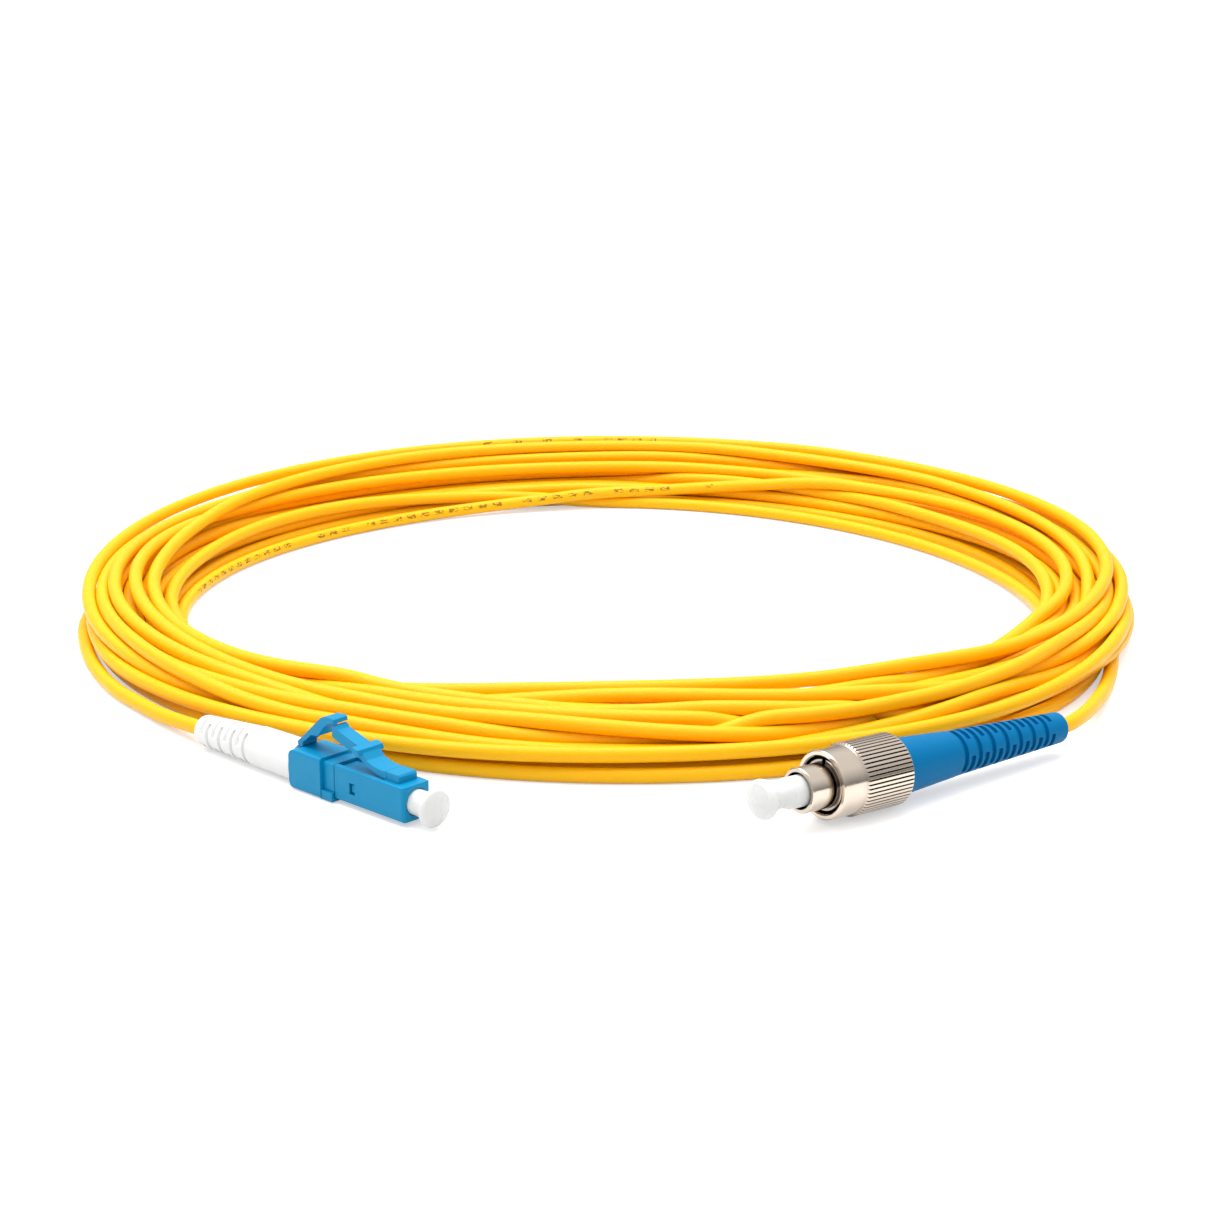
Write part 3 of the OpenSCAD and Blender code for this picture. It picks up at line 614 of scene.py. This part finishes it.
class PATCHCORD_OT_cable(bpy.types.Operator):
    """Wind the cable and lay its two free ends"""

    bl_idname = "patchcord.cable"
    bl_label = "Build the cable"

    def execute(self, context):
        settings = context.scene.patch_cable
        turns = settle_turns(settings.diameter, settings.settle_steps)
        path = np.vstack([np.array(LATCHED_END), turns, np.array(SCREW_END)[::-1]]) * MM
        line = smooth_line(path, LINE_PARTS)
        mesh = tube_mesh("patch_cable", line, settings.diameter / 2.0, settings.sides)
        piece = show("patch_cable", mesh)
        piece.data.materials.append(jacket_material(settings, self.stretches(line)))
        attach(piece, "cord")
        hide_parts("cable_coil", "lc_cable_tail", "fc_cable_tail")
        return {"FINISHED"}

    def stretches(self, line):
        """The printed stretches, in metres along the cable"""
        along = lengths_along(line)
        start = len(LATCHED_END) * LINE_PARTS
        per_turn = STATION_PARTS * len(STATIONS) * LINE_PARTS
        return [tuple(along[int(start + end * per_turn)] for end in stretch) for stretch in PRINTED]


class PATCHCORD_OT_finishes(bpy.types.Operator):
    """Give each CAD piece of the two plugs its finish"""

    bl_idname = "patchcord.finishes"
    bl_label = "Finish the plugs"

    def execute(self, context):
        settings = context.scene.patch_plugs
        edge = settings.edge
        made = {
            "plug_blue": moulded("plug_blue", settings.body, rough=(0.34, 0.5), edge=edge),
            "boot_white": moulded("boot_white", BOOT_WHITE, rough=(0.42, 0.58), edge=edge, soft=0.15),
            "boot_blue": moulded("boot_blue", settings.boot, rough=(0.36, 0.52), edge=edge, shine=0.08),
            "cap_white": moulded("cap_white", CAP_WHITE, rough=(0.22, 0.36), edge=edge, soft=0.6),
            "nickel_plate": metal("nickel_plate", NICKEL, rough=(0.1, 0.2), edge=edge * 0.5),
            "bright_steel": metal("bright_steel", STEEL, rough=(0.2, 0.35), edge=edge * 0.3),
            "zirconia": moulded("zirconia", CERAMIC, rough=(0.08, 0.16), edge=edge * 0.3),
            "aramid": moulded("aramid", YARN_GOLD, rough=(0.7, 0.9), edge=0.0),
            "fibre_buffer": moulded("fibre_buffer", BUFFER_WHITE, rough=(0.3, 0.45), edge=0.0),
        }
        for finish, nodes in FINISHES.items():
            for node in nodes:
                mesh = frame["nodes"][node].data
                mesh.materials.clear()
                mesh.materials.append(made[finish])
        return {"FINISHED"}


class PATCHCORD_OT_springs(bpy.types.Operator):
    """Put a merged copy of each spring on the parent of its ferrule's joint, in place of the CAD spring
    """

    bl_idname = "patchcord.springs"
    bl_label = "Fit the springs"

    def execute(self, context):
        joints = {joint["name"]: joint for joint in frame["joints"]}
        for node, name in SPRINGS.items():
            joint = joints[name]
            piece = show(node + "_coil", merged_copy(frame["nodes"][node].data))
            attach(piece, joint["parent"])
            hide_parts(node)
            points = np.array([vertex.co for vertex in piece.data.vertices])
            along = points @ np.array(joint["axis"])
            seat = points[along.argmax()].tolist()
            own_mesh(piece)
        return {"FINISHED"}


class PATCHCORD_OT_stage(bpy.types.Operator):
    """Set up the camera, the floor and the light"""

    bl_idname = "patchcord.stage"
    bl_label = "Set the stage"

    def execute(self, context):
        settings = context.scene.patch_stage
        context.scene.view_settings.view_transform = "Standard"
        self.camera(context, settings)
        self.floor()
        self.light(settings)
        self.world(context)
        return {"FINISHED"}

    def camera(self, context, settings):
        """A camera in front of the coil that looks down at its middle"""
        data = bpy.data.cameras.new("camera")
        data.lens = settings.lens
        data.sensor_width = SENSOR_WIDTH
        data.clip_start, data.clip_end = CAMERA_CLIP
        camera = bpy.data.objects.new("camera", data)
        camera.location = (
            0.0,
            -settings.distance * math.cos(settings.elevation),
            settings.distance * math.sin(settings.elevation) + CAMERA_LIFT,
        )
        camera.rotation_euler = (math.pi / 2.0 - settings.elevation, 0.0, 0.0)
        context.scene.collection.objects.link(camera)
        context.scene.camera = camera

    def floor(self):
        """A pale floor that keeps the shadow"""
        mesh = bpy.data.meshes.new("floor")
        signs = ((-1, -1), (1, -1), (1, 1), (-1, 1))
        corners = [(x * FLOOR_HALF, y * FLOOR_HALF, 0.0) for x, y in signs]
        mesh.from_pydata(corners, [], [(0, 1, 2, 3)])
        floor = show("floor", mesh)
        material, tree, shader = new_material("floor")
        shader.inputs["Base Color"].default_value = FLOOR_GREY
        shader.inputs["Roughness"].default_value = 0.9
        shader.inputs["Specular IOR Level"].default_value = 0.1
        shader.inputs["Emission Color"].default_value = (1.0, 1.0, 1.0, 1.0)
        rays = tree.nodes.new("ShaderNodeLightPath").outputs
        mirrored = math_node(tree, "MAXIMUM", rays["Is Camera Ray"], rays["Is Glossy Ray"])
        shown = math_node(tree, "MAXIMUM", mirrored, rays["Is Transmission Ray"])
        glow = math_node(tree, "MULTIPLY", shown, FLOOR_GLOW)
        tree.links.new(glow, shader.inputs["Emission Strength"])
        floor.data.materials.append(material)

    def light(self, settings):
        """One large lamp overhead"""
        data = bpy.data.lights.new("key", "AREA")
        data.shape = "RECTANGLE"
        data.size, data.size_y = LAMP_SIZE
        data.energy = settings.key_power
        lamp = bpy.data.objects.new("key", data)
        lamp.location = LAMP_PLACE
        lamp.rotation_euler = LAMP_TILT
        bpy.context.scene.collection.objects.link(lamp)

    def world(self, context):
        """A white sky that is grey below the horizon"""
        world = bpy.data.worlds.new("room")
        world.use_nodes = True
        tree = world.node_tree
        backdrop = tree.nodes["Background"]
        place = tree.nodes.new("ShaderNodeTexCoord")
        parts = tree.nodes.new("ShaderNodeSeparateXYZ")
        tree.links.new(place.outputs["Generated"], parts.inputs["Vector"])
        ramp = tree.nodes.new("ShaderNodeValToRGB")
        below, above = ramp.color_ramp.elements
        below.position = 0.0
        below.color = SKY_BELOW
        above.position = SKY_TURN
        above.color = SKY_ABOVE
        tree.links.new(parts.outputs["Z"], ramp.inputs["Fac"])
        tree.links.new(ramp.outputs["Color"], backdrop.inputs["Color"])
        backdrop.inputs["Strength"].default_value = 1.0
        context.scene.world = world


class PATCHCORD_PT_panel(bpy.types.Panel):
    """The settings and steps of the patch cord"""

    bl_label = "Patch cord"
    bl_idname = "PATCHCORD_PT_panel"
    bl_space_type = "VIEW_3D"
    bl_region_type = "UI"
    bl_category = "Patch cord"

    def draw(self, context):
        layout = self.layout
        groups = (
            ("Cable", context.scene.patch_cable, PATCHCORD_OT_cable.bl_idname),
            ("Plugs", context.scene.patch_plugs, PATCHCORD_OT_finishes.bl_idname),
            ("Stage", context.scene.patch_stage, PATCHCORD_OT_stage.bl_idname),
        )
        for title, settings, operator in groups:
            box = layout.box()
            box.label(text=title)
            for name in settings.__annotations__:
                box.prop(settings, name)
            box.operator(operator)
        layout.operator(PATCHCORD_OT_springs.bl_idname)


CLASSES = (
    CableSettings, PlugSettings, StageSettings,
    PATCHCORD_OT_cable, PATCHCORD_OT_finishes, PATCHCORD_OT_springs, PATCHCORD_OT_stage,
    PATCHCORD_PT_panel,
)


def register():
    """Add the classes and their settings"""
    for made in CLASSES:
        bpy.utils.register_class(made)
    bpy.types.Scene.patch_cable = bpy.props.PointerProperty(type=CableSettings)
    bpy.types.Scene.patch_plugs = bpy.props.PointerProperty(type=PlugSettings)
    bpy.types.Scene.patch_stage = bpy.props.PointerProperty(type=StageSettings)


def unregister():
    """Remove the settings and the classes"""
    del bpy.types.Scene.patch_stage
    del bpy.types.Scene.patch_plugs
    del bpy.types.Scene.patch_cable
    for made in reversed(CLASSES):
        bpy.utils.unregister_class(made)


def main():
    """Build the looks"""
    register()
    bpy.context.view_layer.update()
    bpy.ops.patchcord.cable()
    bpy.ops.patchcord.finishes()
    bpy.ops.patchcord.springs()
    bpy.ops.patchcord.stage()
    bpy.context.view_layer.update()


if __name__ == "__main__":
    main()
